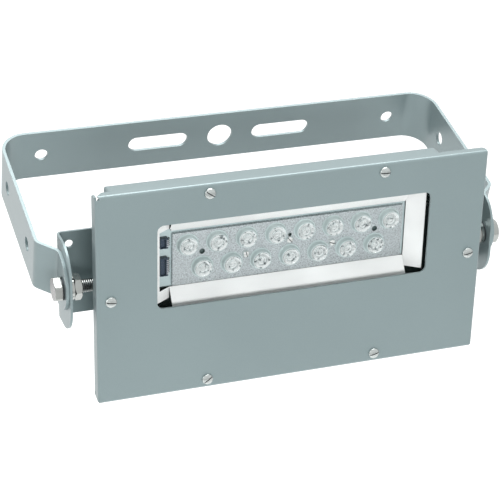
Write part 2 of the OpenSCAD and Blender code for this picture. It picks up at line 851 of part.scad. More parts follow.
module spreader_posts() {
    color("goldenrod") in_head() for (spot = post_spots) difference() {
        hex_y(spot, spreader_back, box_back, post_af);
        pin_y(spot, spreader_back - 1, spreader_back + 9, post_screw_r + screw_fit);
    }
}

module spreader_screws() {
    color("gainsboro") in_head() for (spot = post_spots)
        pan_screw(spot, spreader_y, spreader_back + 7, post_screw_r, 3.8, 2.2);
}

// Solid box with its upright corners and its back edges rounded
module rounded_box(half_w, half_h, front, back, r, edge_r) {
    intersection() {
        slab(front, back) middle_rect(half_w, half_h, r);
        bar_x(-half_w, half_w) round_rect([front - edge_r, back], [-half_h, half_h], edge_r);
        bar_z(-half_h, half_h) round_rect([-half_w, half_w], [front - edge_r, back], edge_r);
    }
}

// The housing is welded from a back, a band of four walls and a flange frame round the band's front
module housing_shell(front, back) {
    intersection() {
        rounded_box(box_half_w, box_half_h, flange_y, box_depth, box_r, back_r);
        slab(front, back) middle_rect(flange_half_w, flange_half_h, flange_r);
    }
}

module housing_back() {
    color("lightsteelblue") in_head() difference() {
        housing_shell(box_back, box_depth + 1);
        holes_y(bracket_screw_spots, box_back, box_depth, bracket_screw_r + hole_fit);
        holes_y([gland_spot], box_back, box_depth, gland_thread_r + screw_fit);
        holes_y([vent_spot], box_back, box_depth, vent_thread_r + screw_fit);
        for (spot = concat(driver_screw_spots, block_screw_spots, [earth_spot]))
            pin_y(spot, box_back - 1, box_back + small_screw_grip, small_screw_r + screw_fit);
    }
}

module housing_walls() {
    color("lightsteelblue") in_head() difference() {
        housing_shell(flange_y, box_back);
        slab(flange_y - 1, box_back + 1) middle_rect(room_w, room_h, box_r - box_wall);
    }
}

module housing_flange() {
    color("lightsteelblue") in_head() difference() {
        slab(flange_y, flange_y + flange_t) difference() {
            middle_rect(flange_half_w, flange_half_h, flange_r);
            middle_rect(box_half_w, box_half_h, box_r);
        }
        holes_y(cover_all, flange_y, flange_y + flange_t, cover_nut_shank_r + screw_fit);
    }
}

// The bracket is bent from one sheet and kept as a flat and two ears that meet where it bends
module bracket_sheet() {
    side = ear_half - ear_t / 2;
    flat = box_depth + ear_t / 2;
    ear_back = box_depth + ear_t + 1;
    difference() {
        intersection() {
            bar_z(bracket_z - bracket_half_h, bracket_z + bracket_half_h)
                bent_strip([[-side, nose_y - 1], [-side, flat], [side, flat], [side, nose_y - 1]],
                    [bracket_bend_r, bracket_bend_r], ear_t);
            bar_x(-ear_half - 1, ear_half + 1) translate([0, bracket_z])
                round_rect([nose_y, ear_back + nose_r], [-bracket_half_h, bracket_half_h], nose_r);
        }
        holes_y(bracket_hole_spots, box_depth, box_depth + ear_t, bracket_hole_r);
        holes_y(bracket_screw_spots, box_depth, box_depth + ear_t, bracket_screw_r + hole_fit);
        translate([0, pivot_y, pivot_z]) both_sides()
            pin_x(ear_half - ear_t - 1, ear_half + 1, bolt_d / 2 + run_fit);
    }
}

module bracket_length(x0, x1) {
    color("slategray") in_head() intersection() {
        bracket_sheet();
        bar_x(x0, x1) translate([-1, bracket_z - bracket_h]) square([box_depth + ear_t + 2, 2 * bracket_h]);
    }
}

module head_bracket() {
    bracket_length(-bracket_flat_half, bracket_flat_half);
}

module bracket_left_ear() {
    bracket_length(-ear_half - 1, -bracket_flat_half);
}

module bracket_right_ear() {
    bracket_length(bracket_flat_half, ear_half + 1);
}

module bracket_screws() {
    color("gainsboro") in_head() for (spot = bracket_screw_spots)
        back_screw(spot, box_depth + ear_t, box_back - bracket_nut_h - bracket_screw_over,
            bracket_screw_r, bracket_head_r, bracket_head_h);
}

module bracket_nuts() {
    color("gainsboro") in_head() difference() {
        for (spot = bracket_screw_spots)
            hex_y(spot, box_back - bracket_nut_h, box_back, bracket_nut_af);
        holes_y(bracket_screw_spots, box_back - bracket_nut_h, box_back, bracket_screw_r + screw_fit);
    }
}

module driver_case() {
    foot_z = [driver_mid[1] - 9, driver_mid[1] + 9];
    color("whitesmoke") in_head() difference() {
        union() {
            slab(box_back - driver_depth, box_back)
                round_rect([driver_x[0] + driver_cap_t, driver_x[1] - driver_cap_t], driver_z, 2);
            slab(box_back - driver_foot_t, box_back)
                round_rect([driver_x[0] - driver_foot, driver_x[1] + driver_foot], foot_z, 3);
        }
        holes_y(driver_screw_spots, box_back - driver_foot_t, box_back, small_screw_r + hole_fit);
    }
}

module driver_ends() {
    color("black") in_head() for (x = [driver_x[0], driver_x[1] - driver_cap_t])
        translate([x, box_back - driver_depth, driver_z[0]])
            cube([driver_cap_t, driver_depth - driver_foot_t, driver_h]);
}

// A small screw that runs into the housing's back through a piece of thickness seat
module small_screw(spot, seat, head_r) {
    pan_screw(spot, box_back - seat, box_back + small_screw_grip, small_screw_r, head_r, 1.9);
}

module driver_screws() {
    color("gainsboro") in_head() for (spot = driver_screw_spots)
        small_screw(spot, driver_foot_t, 3);
}

module terminal_block() {
    color("ivory") in_head() difference() {
        translate([block_mid[0], 0, block_mid[1]]) {
            slab(box_back - block_base_t, box_back)
                middle_rect(block_half + block_ear, block_half_h, 1);
            slab(block_front, box_back) middle_rect(block_half, block_half_h, 1);
        }
        holes_y(block_screw_spots, box_back - block_base_t, box_back, small_screw_r + hole_fit);
        for (x = block_way_x) {
            translate([x, block_wire_y, block_top - 2 * block_half_h - 1])
                cylinder(h = block_grip + 1, r = 1.8);
            translate([x, block_wire_y, block_top - block_grip])
                cylinder(h = block_grip + 1, r = lead_r + screw_fit);
            pin_y([x, block_mid[1]], block_front - 1, block_front + 4, clamp_screw_r + screw_fit);
        }
    }
}

module terminal_screws() {
    color("silver") in_head() {
        for (x = block_way_x) difference() {
            pin_y([x, block_mid[1]], block_front + 1, block_front + 4, clamp_screw_r);
            translate([x, block_front + 1, block_mid[1]]) cube([5, 1.6, 0.8], center = true);
        }
        for (spot = block_screw_spots)
            small_screw(spot, block_base_t, 2.6);
    }
}

// Live and neutral: from the terminal block to the driver's right end
module supply_leads() {
    start_z = block_top - block_grip;
    turn_z = driver_z[0] - 5;
    inner = [driver_x[1] + 7, driver_lead_y, driver_mid[1] - 6];
    outer = [driver_x[1] + 11, driver_lead_y - 6, driver_mid[1] + 2];
    color("saddlebrown") in_head() {
        lead([[block_way_x[2], block_wire_y, start_z], [block_way_x[2], block_wire_y, block_top + 8],
            [inner[0], inner[1], turn_z], inner, [driver_x[1], inner[1], inner[2]]]);
        lead([[block_way_x[1], block_wire_y, start_z], [block_way_x[1], block_wire_y, block_top + 14],
            [outer[0], outer[1], turn_z + 6], outer, [driver_x[1], outer[1], outer[2]]]);
    }
}

// Leads from the driver's left end through the heat spreader to the large connector
module board_leads() {
    color("firebrick") in_head() for (i = [0, 1]) {
        spot = board_lead_spots[i];
        lead([[driver_x[0], driver_lead_y, spot[1]], [driver_x[0] - 9, driver_lead_y, spot[1]],
            [spot[0], spreader_back + 8, spot[1]], [spot[0], board_y, spot[1]]]);
    }
}

module earth_lead() {
    low_y = box_back - lead_r - lead_lift;
    arch_y = box_back - lead_arch;
    start = [block_way_x[0], block_wire_y, block_top - block_grip];
    color("yellowgreen") in_head() {
        lead([start, [start[0], block_wire_y, block_top + lead_out],
            [start[0] + block_pitch, arch_y, block_top + lead_rise],
            [earth_spot[0] - ring_r, arch_y + ring_r, block_top + lead_rise - 2 * lead_r],
            [earth_spot[0], low_y, earth_spot[1] + 3 * ring_r],
            [earth_spot[0], low_y, earth_spot[1] + ring_r - ring_t]]);
        ring_y(earth_spot, box_back - ring_t, box_back, ring_r, small_screw_r + hole_fit);
    }
}

module earth_screw() {
    color("goldenrod") in_head() small_screw(earth_spot, ring_t, 2.4);
}

// Cable inlet through the housing's back; nothing is plugged into it
module gland_body() {
    color("dimgray") in_head() difference() {
        union() {
            hex_y(gland_spot, box_depth, gland_y, gland_af);
            pin_y(gland_spot, box_back - gland_nut_h - 2, box_depth, gland_thread_r);
            pin_y(gland_spot, gland_y, gland_y + gland_neck, gland_neck_r);
        }
        pin_y(gland_spot, box_back - gland_nut_h - 3, gland_y + 1, gland_bore_r);
        pin_y(gland_spot, gland_y, gland_y + gland_neck + 1, gland_seal_r);
    }
}

module gland_seal() {
    color("black") in_head()
        ring_y(gland_spot, gland_y, gland_y + gland_neck, gland_seal_r, gland_bore_r);
}

module gland_cap() {
    color("dimgray") in_head() difference() {
        union() {
            hex_y(gland_spot, gland_y, gland_y + gland_neck, gland_af);
            intersection() {
                pin_y(gland_spot, gland_y, gland_y + gland_cap_len, gland_af / 2);
                translate([gland_spot[0], gland_y, gland_spot[1]])
                    sphere(norm([gland_cap_len, gland_neck_r]));
            }
        }
        pin_y(gland_spot, gland_y - 1, gland_y + gland_neck, gland_neck_r + screw_fit);
        pin_y(gland_spot, gland_y, gland_y + gland_cap_len + 1, gland_bore_r);
    }
}

module gland_locknut() {
    color("dimgray") in_head() difference() {
        hex_y(gland_spot, box_back - gland_nut_h, box_back, gland_af + 2);
        pin_y(gland_spot, box_back - gland_nut_h - 1, box_back + 1, gland_thread_r + screw_fit);
    }
}

module vent_plug() {
    color("black") in_head() difference() {
        union() {
            pin_y(vent_spot, box_depth, box_depth + 4, vent_head_r);
            pin_y(vent_spot, box_back - vent_nut_h, box_depth, vent_thread_r);
        }
        pin_y(vent_spot, box_back - vent_nut_h - 1, box_depth + 2.5, vent_thread_r / 2);
        for (turn = [0, 60, 120])
            translate([vent_spot[0], box_depth + 1.6, vent_spot[1]]) rotate([0, turn, 0])
                cube([2.5 * vent_head_r, 1.2, 1.6], center = true);
    }
}

module vent_nut() {
    color("dimgray") in_head() difference() {
        hex_y(vent_spot, box_back - vent_nut_h, box_back, vent_nut_af);
        pin_y(vent_spot, box_back - vent_nut_h - 1, box_back + 1, vent_thread_r + screw_fit);
    }
}

yoke_web();
yoke_left_arm();
yoke_right_arm();
pivot_bolts();
pivot_washers();
pivot_lock_washers();
pivot_nuts();
face_plate();
cover_screws();
cover_seal();
cover_nuts();
window_glass();
glass_seal();
glass_clips();
clip_studs();
clip_nuts();
reflector();
reflector_spacers();
reflector_screws();
lens_plate();
lens_screws();
led_board();
leds();
small_connector();
large_connector();
connector_pins();
thermal_pad();
heat_spreader();
spreader_posts();
spreader_screws();
housing_back();
housing_walls();
housing_flange();
head_bracket();
bracket_left_ear();
bracket_right_ear();
bracket_screws();
bracket_nuts();
driver_case();
driver_ends();
driver_screws();
terminal_block();
terminal_screws();
supply_leads();
board_leads();
earth_lead();
earth_screw();
gland_body();
gland_seal();
gland_cap();
gland_locknut();
vent_plug();
vent_nut();
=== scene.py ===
import math
import bmesh
import bpy
from mathutils import Matrix, Vector


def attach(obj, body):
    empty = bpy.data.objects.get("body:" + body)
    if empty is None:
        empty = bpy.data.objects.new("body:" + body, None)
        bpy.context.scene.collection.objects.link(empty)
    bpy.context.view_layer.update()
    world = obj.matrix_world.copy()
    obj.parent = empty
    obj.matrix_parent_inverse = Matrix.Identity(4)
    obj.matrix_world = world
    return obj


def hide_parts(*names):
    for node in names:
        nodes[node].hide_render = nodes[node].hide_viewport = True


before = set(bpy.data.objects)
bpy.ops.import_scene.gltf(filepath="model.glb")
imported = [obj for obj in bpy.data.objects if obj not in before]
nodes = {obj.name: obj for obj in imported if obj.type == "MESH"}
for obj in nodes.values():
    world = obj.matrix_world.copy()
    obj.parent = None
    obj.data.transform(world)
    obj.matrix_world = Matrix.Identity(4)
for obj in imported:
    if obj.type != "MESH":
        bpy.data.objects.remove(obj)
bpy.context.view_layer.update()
print("frame loaded,", len(nodes), "nodes")

mm = 0.001
lampHead = "lamp_head"
yokeMount = "yoke_mount"

# where the head sits: tilt in degrees, the rest in millimetres
headPlace = {"tilt": 14.7, "reach": 158.7, "pivotDepth": 26.6, "pivotHeight": 2.0}
pivotPoint = Matrix.Translation((0, -headPlace["reach"], 0))
inHead = (pivotPoint @ Matrix.Rotation(math.radians(-headPlace["tilt"]), 4, "X")
          @ Matrix.Translation((0, -headPlace["pivotDepth"], -headPlace["pivotHeight"])))
toMetres = Matrix.Scale(mm, 4)


# shader helpers
class Wire:
    # one output of a node; arithmetic on it adds Math nodes
    def __init__(self, finish, socket):
        self.finish = finish
        self.socket = socket

    def calc(self, operation, *values):
        return self.finish.node("ShaderNodeMath", {"operation": operation}, dict(enumerate(values)))

    def __add__(self, other):
        return self.calc("ADD", self, other)

    __radd__ = __add__

    def __mul__(self, other):
        return self.calc("MULTIPLY", self, other)

    __rmul__ = __mul__

    def __sub__(self, other):
        return self.calc("SUBTRACT", self, other)

    def __rsub__(self, other):
        return self.calc("SUBTRACT", other, self)

    def __gt__(self, limit):
        return self.calc("GREATER_THAN", self, limit)


class Finish:
    # a Principled material whose patterns read Object coordinates
    def __init__(self, name, color, rough, metal=0.0, **fixed):
        self.material = bpy.data.materials.new(name)
        self.material.use_nodes = True
        self.tree = self.material.node_tree
        self.surface = self.tree.nodes["Principled BSDF"]
        self.place = self.node("ShaderNodeTexCoord", {}, {}, "Object")
        self.color = color
        self.set("Base Color", (*color, 1.0))
        self.set("Roughness", rough)
        self.set("Metallic", metal)
        for key, value in fixed.items():
            self.set(key.replace("_", " "), value)

    def node(self, kind, settings, values, output=0):
        made = self.tree.nodes.new(kind)
        for key, value in settings.items():
            if key == "stops":
                self.setStops(made.color_ramp, value)
            else:
                setattr(made, key, value)
        for key, value in values.items():
            self.feed(made.inputs[key], value)
        return Wire(self, made.outputs[output])

    def setStops(self, ramp, stops):
        while len(ramp.elements) < len(stops):
            ramp.elements.new(0.5)
        for element, (position, color) in zip(ramp.elements, stops):
            element.position = position
            element.color = (*color, 1.0)

    def feed(self, socket, value):
        if isinstance(value, Wire):
            self.tree.links.new(value.socket, socket)
        else:
            socket.default_value = value

    def set(self, name, value):
        self.feed(self.surface.inputs[name], value)

    # noise whose grains are size metres wide; stretch turns them into lines
    def grains(self, size, detail=2.0, stretch=(1, 1, 1)):
        scaled = self.node("ShaderNodeMapping", {"vector_type": "POINT"},
                           {"Vector": self.place, "Scale": Vector(stretch)})
        return self.node("ShaderNodeTexNoise", {},
                         {"Vector": scaled, "Scale": 1.0 / size, "Detail": detail}, "Fac")

    def blendColors(self, factor, first, second):
        ends = [c if isinstance(c, Wire) else (*c, 1.0) for c in (first, second)]
        return self.node("ShaderNodeMix", {"data_type": "RGBA"},
                         {0: factor, 6: ends[0], 7: ends[1]}, 2)

    # noise mostly runs from 0.3 to 0.7; this stretches it to run from low to high
    def spread(self, value, low, high):
        return self.node("ShaderNodeMapRange", {},
                         {"Value": value, "From Min": 0.3, "From Max": 0.7, "To Min": low, "To Max": high})

    def relief(self, height, depth):
        self.set("Normal", self.node("ShaderNodeBump", {},
                                     {"Height": height, "Distance": depth, "Strength": 1.0}, "Normal"))


def shade(color, factor):
    return tuple(min(1.0, c * factor) for c in color)


# how each kind of finish varies: shares of its colour, ends of its patterns, steps from its roughness
paintRange = {"cloud": (0.975, 1.025), "fleck": 1.35, "rough": (-0.03, 0.04)}
metalRange = {"stain": 0.9}
mouldRange = {"tone": (0.92, 1.08), "toneSize": 30, "rough": (-0.05, 0.08)}
opticRange = {"spots": (-0.1, 3.2), "rough": (-0.04, 0.06)}
faceRange = {"coarseSize": 2.4, "coarse": 0.5, "rough": (-0.12, 0.1)}


# the roughness between two steps from its middle, read from a pattern
def roughened(finish, pattern, middle, steps):
    finish.set("Roughness", finish.spread(pattern, middle + steps[0], middle + steps[1]))


def satinPaint(name, look):
    paint = Finish(name, look["color"], look["rough"], look["metal"],
                   Coat_Weight=look["coat"], Coat_Roughness=look["coatRough"])
    cloud = paint.grains(look["cloud"], 3)
    fleck = paint.grains(look["fleck"], 1)
    dull, clear = [shade(look["color"], share) for share in paintRange["cloud"]]
    even = paint.blendColors(paint.spread(cloud, 0.0, 1.0), dull, clear)
    paint.set("Base Color", paint.blendColors(paint.spread(fleck, 0.0, look["fleckShare"]), even,
                                              shade(look["color"], paintRange["fleck"])))
    roughened(paint, fleck, look["rough"], paintRange["rough"])
    paint.relief(paint.grains(look["peel"], 2), look["peelDepth"])
    return paint.material


def brightMetal(name, look):
    metal = Finish(name, look["color"], look["rough"], 1.0)
    lines = metal.grains(look["line"], 2, look["stretch"])
    stain = metal.grains(look["stain"], 3)
    metal.set("Base Color", metal.blendColors(metal.spread(stain, 0.0, 1.0),
                                              shade(look["color"], metalRange["stain"]), look["color"]))
    roughened(metal, lines, look["rough"], (-look["vary"], look["vary"]))
    metal.relief(lines, look["depth"])
    return metal.material


def moulded(name, look):
    plastic = Finish(name, look["color"], look["rough"], Specular_IOR_Level=look.get("specular", 0.5))
    skin = plastic.grains(look["grain"], 3)
    tone = plastic.grains(look["grain"] * mouldRange["toneSize"], 2)
    deep, pale = [shade(look["color"], share) for share in mouldRange["tone"]]
    plastic.set("Base Color", plastic.blendColors(plastic.spread(tone, 0.0, 1.0), deep, pale))
    roughened(plastic, skin, look["rough"], mouldRange["rough"])
    plastic.relief(skin, look["depth"])
    return plastic.material


def lensOptic(name, look):
    # clear lens seen from the front: bright patches and dark spots painted as its reflections, and a rippled
    # face
    optic = Finish(name, look["color"], look["rough"], look["metal"])
    spots = optic.grains(look["spot"], 1)
    ripples = optic.grains(look["ripple"], 1)
    optic.set("Base Color", optic.blendColors(optic.spread(spots, *opticRange["spots"]),
                                              look["dark"], look["color"]))
    roughened(optic, spots, look["rough"], opticRange["rough"])
    optic.relief(ripples, look["depth"])
    return optic.material


def speckledFace(name, look):
    # moulded face with a coarse grain whose light specks are painted sparkle
    face = Finish(name, look["color"], look["rough"], look["metal"])
    grain = face.grains(look["grain"], 2)
    coarse = face.grains(look["grain"] * faceRange["coarseSize"], 2)
    mottled = face.blendColors(face.spread(grain, 0.0, 1.0), look["dark"], look["light"])
    face.set("Base Color", face.blendColors(face.spread(coarse, 0.0, faceRange["coarse"]),
                                            mottled, look["color"]))
    roughened(face, coarse, look["rough"], faceRange["rough"])
    face.relief(grain + coarse, look["depth"])
    return face.material


def clearPane(name, look):
    pane = Finish(name, look["color"], look["rough"], 0.0, IOR=1.5)
    edge = pane.node("ShaderNodeLayerWeight", {}, {"Blend": look["blend"]}, "Fresnel")
    pane.set("Alpha", edge * look["sheen"] + look["body"])
    return pane.material


def stripedLead(name, look):
    # green insulation with a yellow stripe that winds round
    lead = Finish(name, look["color"], look["rough"])
    band = lead.node("ShaderNodeTexWave", {"wave_type": "BANDS", "bands_direction": "DIAGONAL"},
                     {"Vector": lead.place, "Scale": look["bands"], "Distortion": look["waver"]}, "Fac")
    lead.set("Base Color", lead.blendColors(band > look["greenShare"], look["color"], look["stripe"]))
    lead.relief(lead.grains(look["grain"], 2), look["depth"])
    return lead.material


paintLook = {"color": (0.228, 0.290, 0.298), "rough": 0.36, "metal": 0.38, "coat": 0.12, "coatRough": 0.2,
             "cloud": 0.09, "fleck": 0.0005, "fleckShare": 0.16, "peel": 0.0016, "peelDepth": 0.000012}
steelLook = {"color": (0.42, 0.44, 0.425), "rough": 0.16, "vary": 0.06, "line": 0.0007,
             "stretch": (0.12, 1, 1), "stain": 0.012, "depth": 0.000008}
screwLook = {"color": (0.56, 0.60, 0.59), "rough": 0.26, "vary": 0.12, "line": 0.0008,
             "stretch": (1, 1, 1), "stain": 0.003, "depth": 0.00007}
polishedLook = {"color": (0.95, 0.98, 0.97), "rough": 0.22, "vary": 0.08, "line": 0.0008,
                "stretch": (1, 1, 1), "stain": 0.003, "depth": 0.00004}
# dark steel for the connector pins and flat washers, also the painted shade in screw slots and thread roots
shadeAndDarkSteelLook = {"color": (0.09, 0.095, 0.10), "rough": 0.4, "vary": 0.08, "line": 0.0006,
                 "stretch": (1, 1, 1), "stain": 0.004, "depth": 0.00001}
endLook = {"color": (0.30, 0.30, 0.30), "rough": 0.34, "vary": 0.1, "line": 0.0012, "stretch": (1, 1, 1),
           "stain": 0.003, "depth": 0.0002}
zincLook = {"color": (0.66, 0.68, 0.70), "rough": 0.32, "vary": 0.08, "line": 0.0009, "stretch": (1, 1, 1),
            "stain": 0.008, "depth": 0.00001}
millLook = {"color": (0.72, 0.73, 0.74), "rough": 0.36, "vary": 0.08, "line": 0.0008, "stretch": (0.05, 1, 1),
            "stain": 0.02, "depth": 0.00001}
brassLook = {"color": (0.66, 0.49, 0.20), "rough": 0.26, "vary": 0.06, "line": 0.0006, "stretch": (1, 0.2, 1),
             "stain": 0.01, "depth": 0.00001}
bowlLook = {"color": (0.80, 0.85, 0.85), "dark": (0.26, 0.30, 0.31), "rough": 0.12, "metal": 0.85,
            "spot": 0.0024, "ripple": 0.0040, "depth": 0.0006}
darkLook = {"color": (0.020, 0.022, 0.025), "rough": 0.5, "grain": 0.0006, "depth": 0.00002}
plugLook = {"color": (0.040, 0.056, 0.082), "rough": 0.3, "specular": 0.3, "grain": 0.0007, "depth": 0.00001}
# dark grey-green painted shade inside the lens plate's holes
holeShadeLook = {"color": (0.075, 0.105, 0.105), "rough": 0.3, "grain": 0.0007, "depth": 0.00001}
sealLook = {"color": (0.012, 0.012, 0.013), "rough": 0.78, "grain": 0.0008, "depth": 0.00003}
nylonLook = {"color": (0.74, 0.74, 0.70), "rough": 0.45, "grain": 0.0008, "depth": 0.00001}
whiteLook = {"color": (0.86, 0.88, 0.875), "rough": 0.2, "grain": 0.0015, "depth": 0.000006}
# near-black painted shade for the reflector's base and the backs of its flaps
paintedShadeLook = {"color": (0.010, 0.011, 0.012), "rough": 0.7, "specular": 0.08, "grain": 0.0015,
              "depth": 0.000006}
boardLook = {"color": (0.46, 0.56, 0.57), "rough": 0.4, "grain": 0.0008, "depth": 0.000004}
padLook = {"color": (0.28, 0.34, 0.40), "rough": 0.8, "grain": 0.001, "depth": 0.00003}
wallLook = {"color": (0.53, 0.62, 0.62), "rough": 0.16, "grain": 0.0012, "depth": 0.000008}
phosphorLook = {"color": (0.78, 0.74, 0.42), "rough": 0.3, "grain": 0.0004, "depth": 0.00001}
faceLook = {"color": (0.39, 0.43, 0.445), "dark": (0.19, 0.213, 0.224), "light": (0.76, 0.83, 0.85),
            "rough": 0.3, "metal": 0.35, "grain": 0.0005, "depth": 0.00014}
glassLook = {"color": (0.10, 0.16, 0.15), "rough": 0.03, "blend": 0.3, "sheen": 0.3, "body": 0.008}
earthLook = {"color": (0.10, 0.28, 0.05), "stripe": (0.78, 0.66, 0.05), "rough": 0.35, "bands": 60.0,
             "waver": 0.6, "greenShare": 0.55, "grain": 0.0008, "depth": 0.00002}
brownLook = {"color": (0.12, 0.055, 0.03), "rough": 0.35, "grain": 0.001, "depth": 0.00002}
redLook = {"color": (0.42, 0.03, 0.02), "rough": 0.35, "grain": 0.001, "depth": 0.00002}

paint = satinPaint("satinGreyPaint", paintLook)
steel = brightMetal("stainlessSteel", steelLook)
screwSteel = brightMetal("turnedScrewSteel", screwLook)
brightSteel = brightMetal("polishedScrewSteel", polishedLook)
shadeAndDarkSteel = brightMetal("paintedShadeAndDarkSteel", shadeAndDarkSteelLook)
endSteel = brightMetal("darkerRoughHeadEnd", endLook)
zinc = brightMetal("brightZinc", zincLook)
mill = brightMetal("millAluminium", millLook)
brass = brightMetal("plainBrass", brassLook)
bowl = lensOptic("lensBowl", bowlLook)
darkPlastic = moulded("darkNylon", darkLook)
plugPlastic = moulded("blueBlackPlug", plugLook)
holeShadePlastic = moulded("greyGreenHoleShade", holeShadeLook)
rubber = moulded("sealRubber", sealLook)
nylon = moulded("paleNylon", nylonLook)
white = moulded("whiteSheetPaint", whiteLook)
paintedShadeSheet = moulded("paintedShadeSheetBack", paintedShadeLook)
boardMask = moulded("solderMask", boardLook)
padRubber = moulded("heatPad", padLook)
lensWall = moulded("lensWall", wallLook)
phosphor = moulded("ledPhosphor", phosphorLook)
lensFace = speckledFace("speckledLensFace", faceLook)
glass = clearPane("windowPane", glassLook)
earthGreen = stripedLead("stripedEarthLead", earthLook)
leadBrown = moulded("brownLead", brownLook)
leadRed = moulded("redLead", redLook)
print("finishes made,", len(bpy.data.materials), "materials")

nodeFinish = {
    "yoke_web": paint, "yoke_left_arm": paint, "yoke_right_arm": paint, "face_plate": paint,
    "housing_back": paint, "housing_walls": paint, "housing_flange": paint, "head_bracket": paint,
    "bracket_left_ear": paint, "bracket_right_ear": paint, "pivot_bolts": steel, "pivot_washers": steel,
    "pivot_lock_washers": steel, "pivot_nuts": steel, "cover_screws": screwSteel, "cover_seal": rubber,
    "cover_nuts": zinc,
    "window_glass": glass, "glass_seal": rubber, "glass_clips": zinc, "clip_studs": zinc, "clip_nuts": zinc,
    "reflector": white, "reflector_spacers": nylon, "reflector_screws": screwSteel, "lens_plate": lensFace,
    "lens_screws": screwSteel, "led_board": boardMask, "leds": phosphor, "small_connector": plugPlastic,
    "large_connector": plugPlastic, "connector_pins": shadeAndDarkSteel, "thermal_pad": padRubber,
    "heat_spreader": mill, "spreader_posts": brass, "spreader_screws": screwSteel,
    "bracket_screws": screwSteel, "bracket_nuts": steel, "driver_case": white,
    "driver_ends": darkPlastic, "driver_screws": screwSteel, "terminal_block": nylon,
    "terminal_screws": zinc, "supply_leads": leadBrown, "board_leads": leadRed,
    "earth_lead": earthGreen, "earth_screw": brass, "gland_body": darkPlastic, "gland_seal": rubber,
    "gland_cap": darkPlastic, "gland_locknut": darkPlastic, "vent_plug": darkPlastic, "vent_nut": darkPlastic}
for nodeName, nodeObject in nodes.items():
    nodeObject.data.materials.clear()
    nodeObject.data.materials.append(nodeFinish[nodeName])
print("node finishes set")


# mesh helpers: a linked object with its finishes; faces blend where they meet below an angle in degrees
def meshObject(name, bm, finishes, smooth):
    mesh = bpy.data.meshes.new(name)
    bm.to_mesh(mesh)
    bm.free()
    for finish in finishes:
        mesh.materials.append(finish)
    mesh.polygons.foreach_set("use_smooth", [True] * len(mesh.polygons))
    mesh.set_sharp_from_angle(angle=math.radians(smooth))
    piece = bpy.data.objects.new(name, mesh)
    bpy.context.scene.collection.objects.link(piece)
    return piece


# shapes are drawn in millimetres and put in place at the end
def makePiece(name, bm, finishes, body, stoodFor, place=Matrix.Identity(4), smooth=28):
    bmesh.ops.transform(bm, matrix=toMetres @ place, verts=bm.verts)
    bmesh.ops.recalc_face_normals(bm, faces=bm.faces)
    piece = meshObject(name, bm, finishes, smooth)
    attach(piece, body)
    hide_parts(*stoodFor)
    return piece


# outline points (radius, height) turned into a closed round body about +Z
def turned(bm, outline, segments=48, finishIndex=None):
    before = set(bm.faces)
    points = [bm.verts.new((radius, 0, height)) for radius, height in outline]
    edges = [bm.edges.new(pair) for pair in zip(points, points[1:])]
    bmesh.ops.spin(bm, geom=points + edges, axis=(0, 0, 1), cent=(0, 0, 0), angle=2 * math.pi,
                   steps=segments, use_merge=True)
    bmesh.ops.remove_doubles(bm, verts=bm.verts, dist=0.0005)
    made = [f for f in bm.faces if f not in before]
    if finishIndex:
        for face in made:
            face.material_index = finishIndex(face)
    return made


def box(bm, low, high):
    middle = [(a + b) / 2 for a, b in zip(low, high)]
    size = [b - a for a, b in zip(low, high)]
    place = Matrix.Translation(middle) @ Matrix.Diagonal((*size, 1))
    bmesh.ops.create_cube(bm, size=1.0, matrix=place)


def pin(bm, x, z, front, back, radius):
    place = Matrix.Translation((x, (front + back) / 2, z)) @ Matrix.Rotation(math.radians(90), 4, "X")
    bmesh.ops.create_cone(bm, cap_ends=True, segments=32, radius1=radius, radius2=radius,
                          depth=back - front, matrix=place)


# copies a finished shape to several places in one mesh
def copies(shape, places):
    whole = bmesh.new()
    mesh = bpy.data.meshes.new("shape")
    shape.to_mesh(mesh)
    shape.free()
    for place in places:
        count = len(whole.verts)
        whole.from_mesh(mesh)
        whole.verts.ensure_lookup_table()
        bmesh.ops.transform(whole, matrix=place, verts=whole.verts[count:])
    bpy.data.meshes.remove(mesh)
    return whole


# takes the cutter's volume out of the body and returns the rest
def carved(body, cutter):
    made = []
    for name, bm in (("body", body), ("cutter", cutter)):
        bmesh.ops.recalc_face_normals(bm, faces=bm.faces)
        mesh = bpy.data.meshes.new(name)
        bm.to_mesh(mesh)
        bm.free()
        made.append(bpy.data.objects.new(name, mesh))
        bpy.context.scene.collection.objects.link(made[-1])
    cut = made[0].modifiers.new("cut", "BOOLEAN")
    cut.operation = "DIFFERENCE"
    cut.solver = "EXACT"
    cut.object = made[1]
    bpy.context.view_layer.update()
    result = bmesh.new()
    result.from_mesh(made[0].evaluated_get(bpy.context.evaluated_depsgraph_get()).to_mesh())
    for piece in made:
        mesh = piece.data
        bpy.data.objects.remove(piece)
        bpy.data.meshes.remove(mesh)
    return result


# angles in degrees, distances in metres
edgeLook = {"sharp": 32, "flat": 0.6, "segments": 3, "weld": 2e-6, "seamReach": 1e-5, "faceWeight": 60}


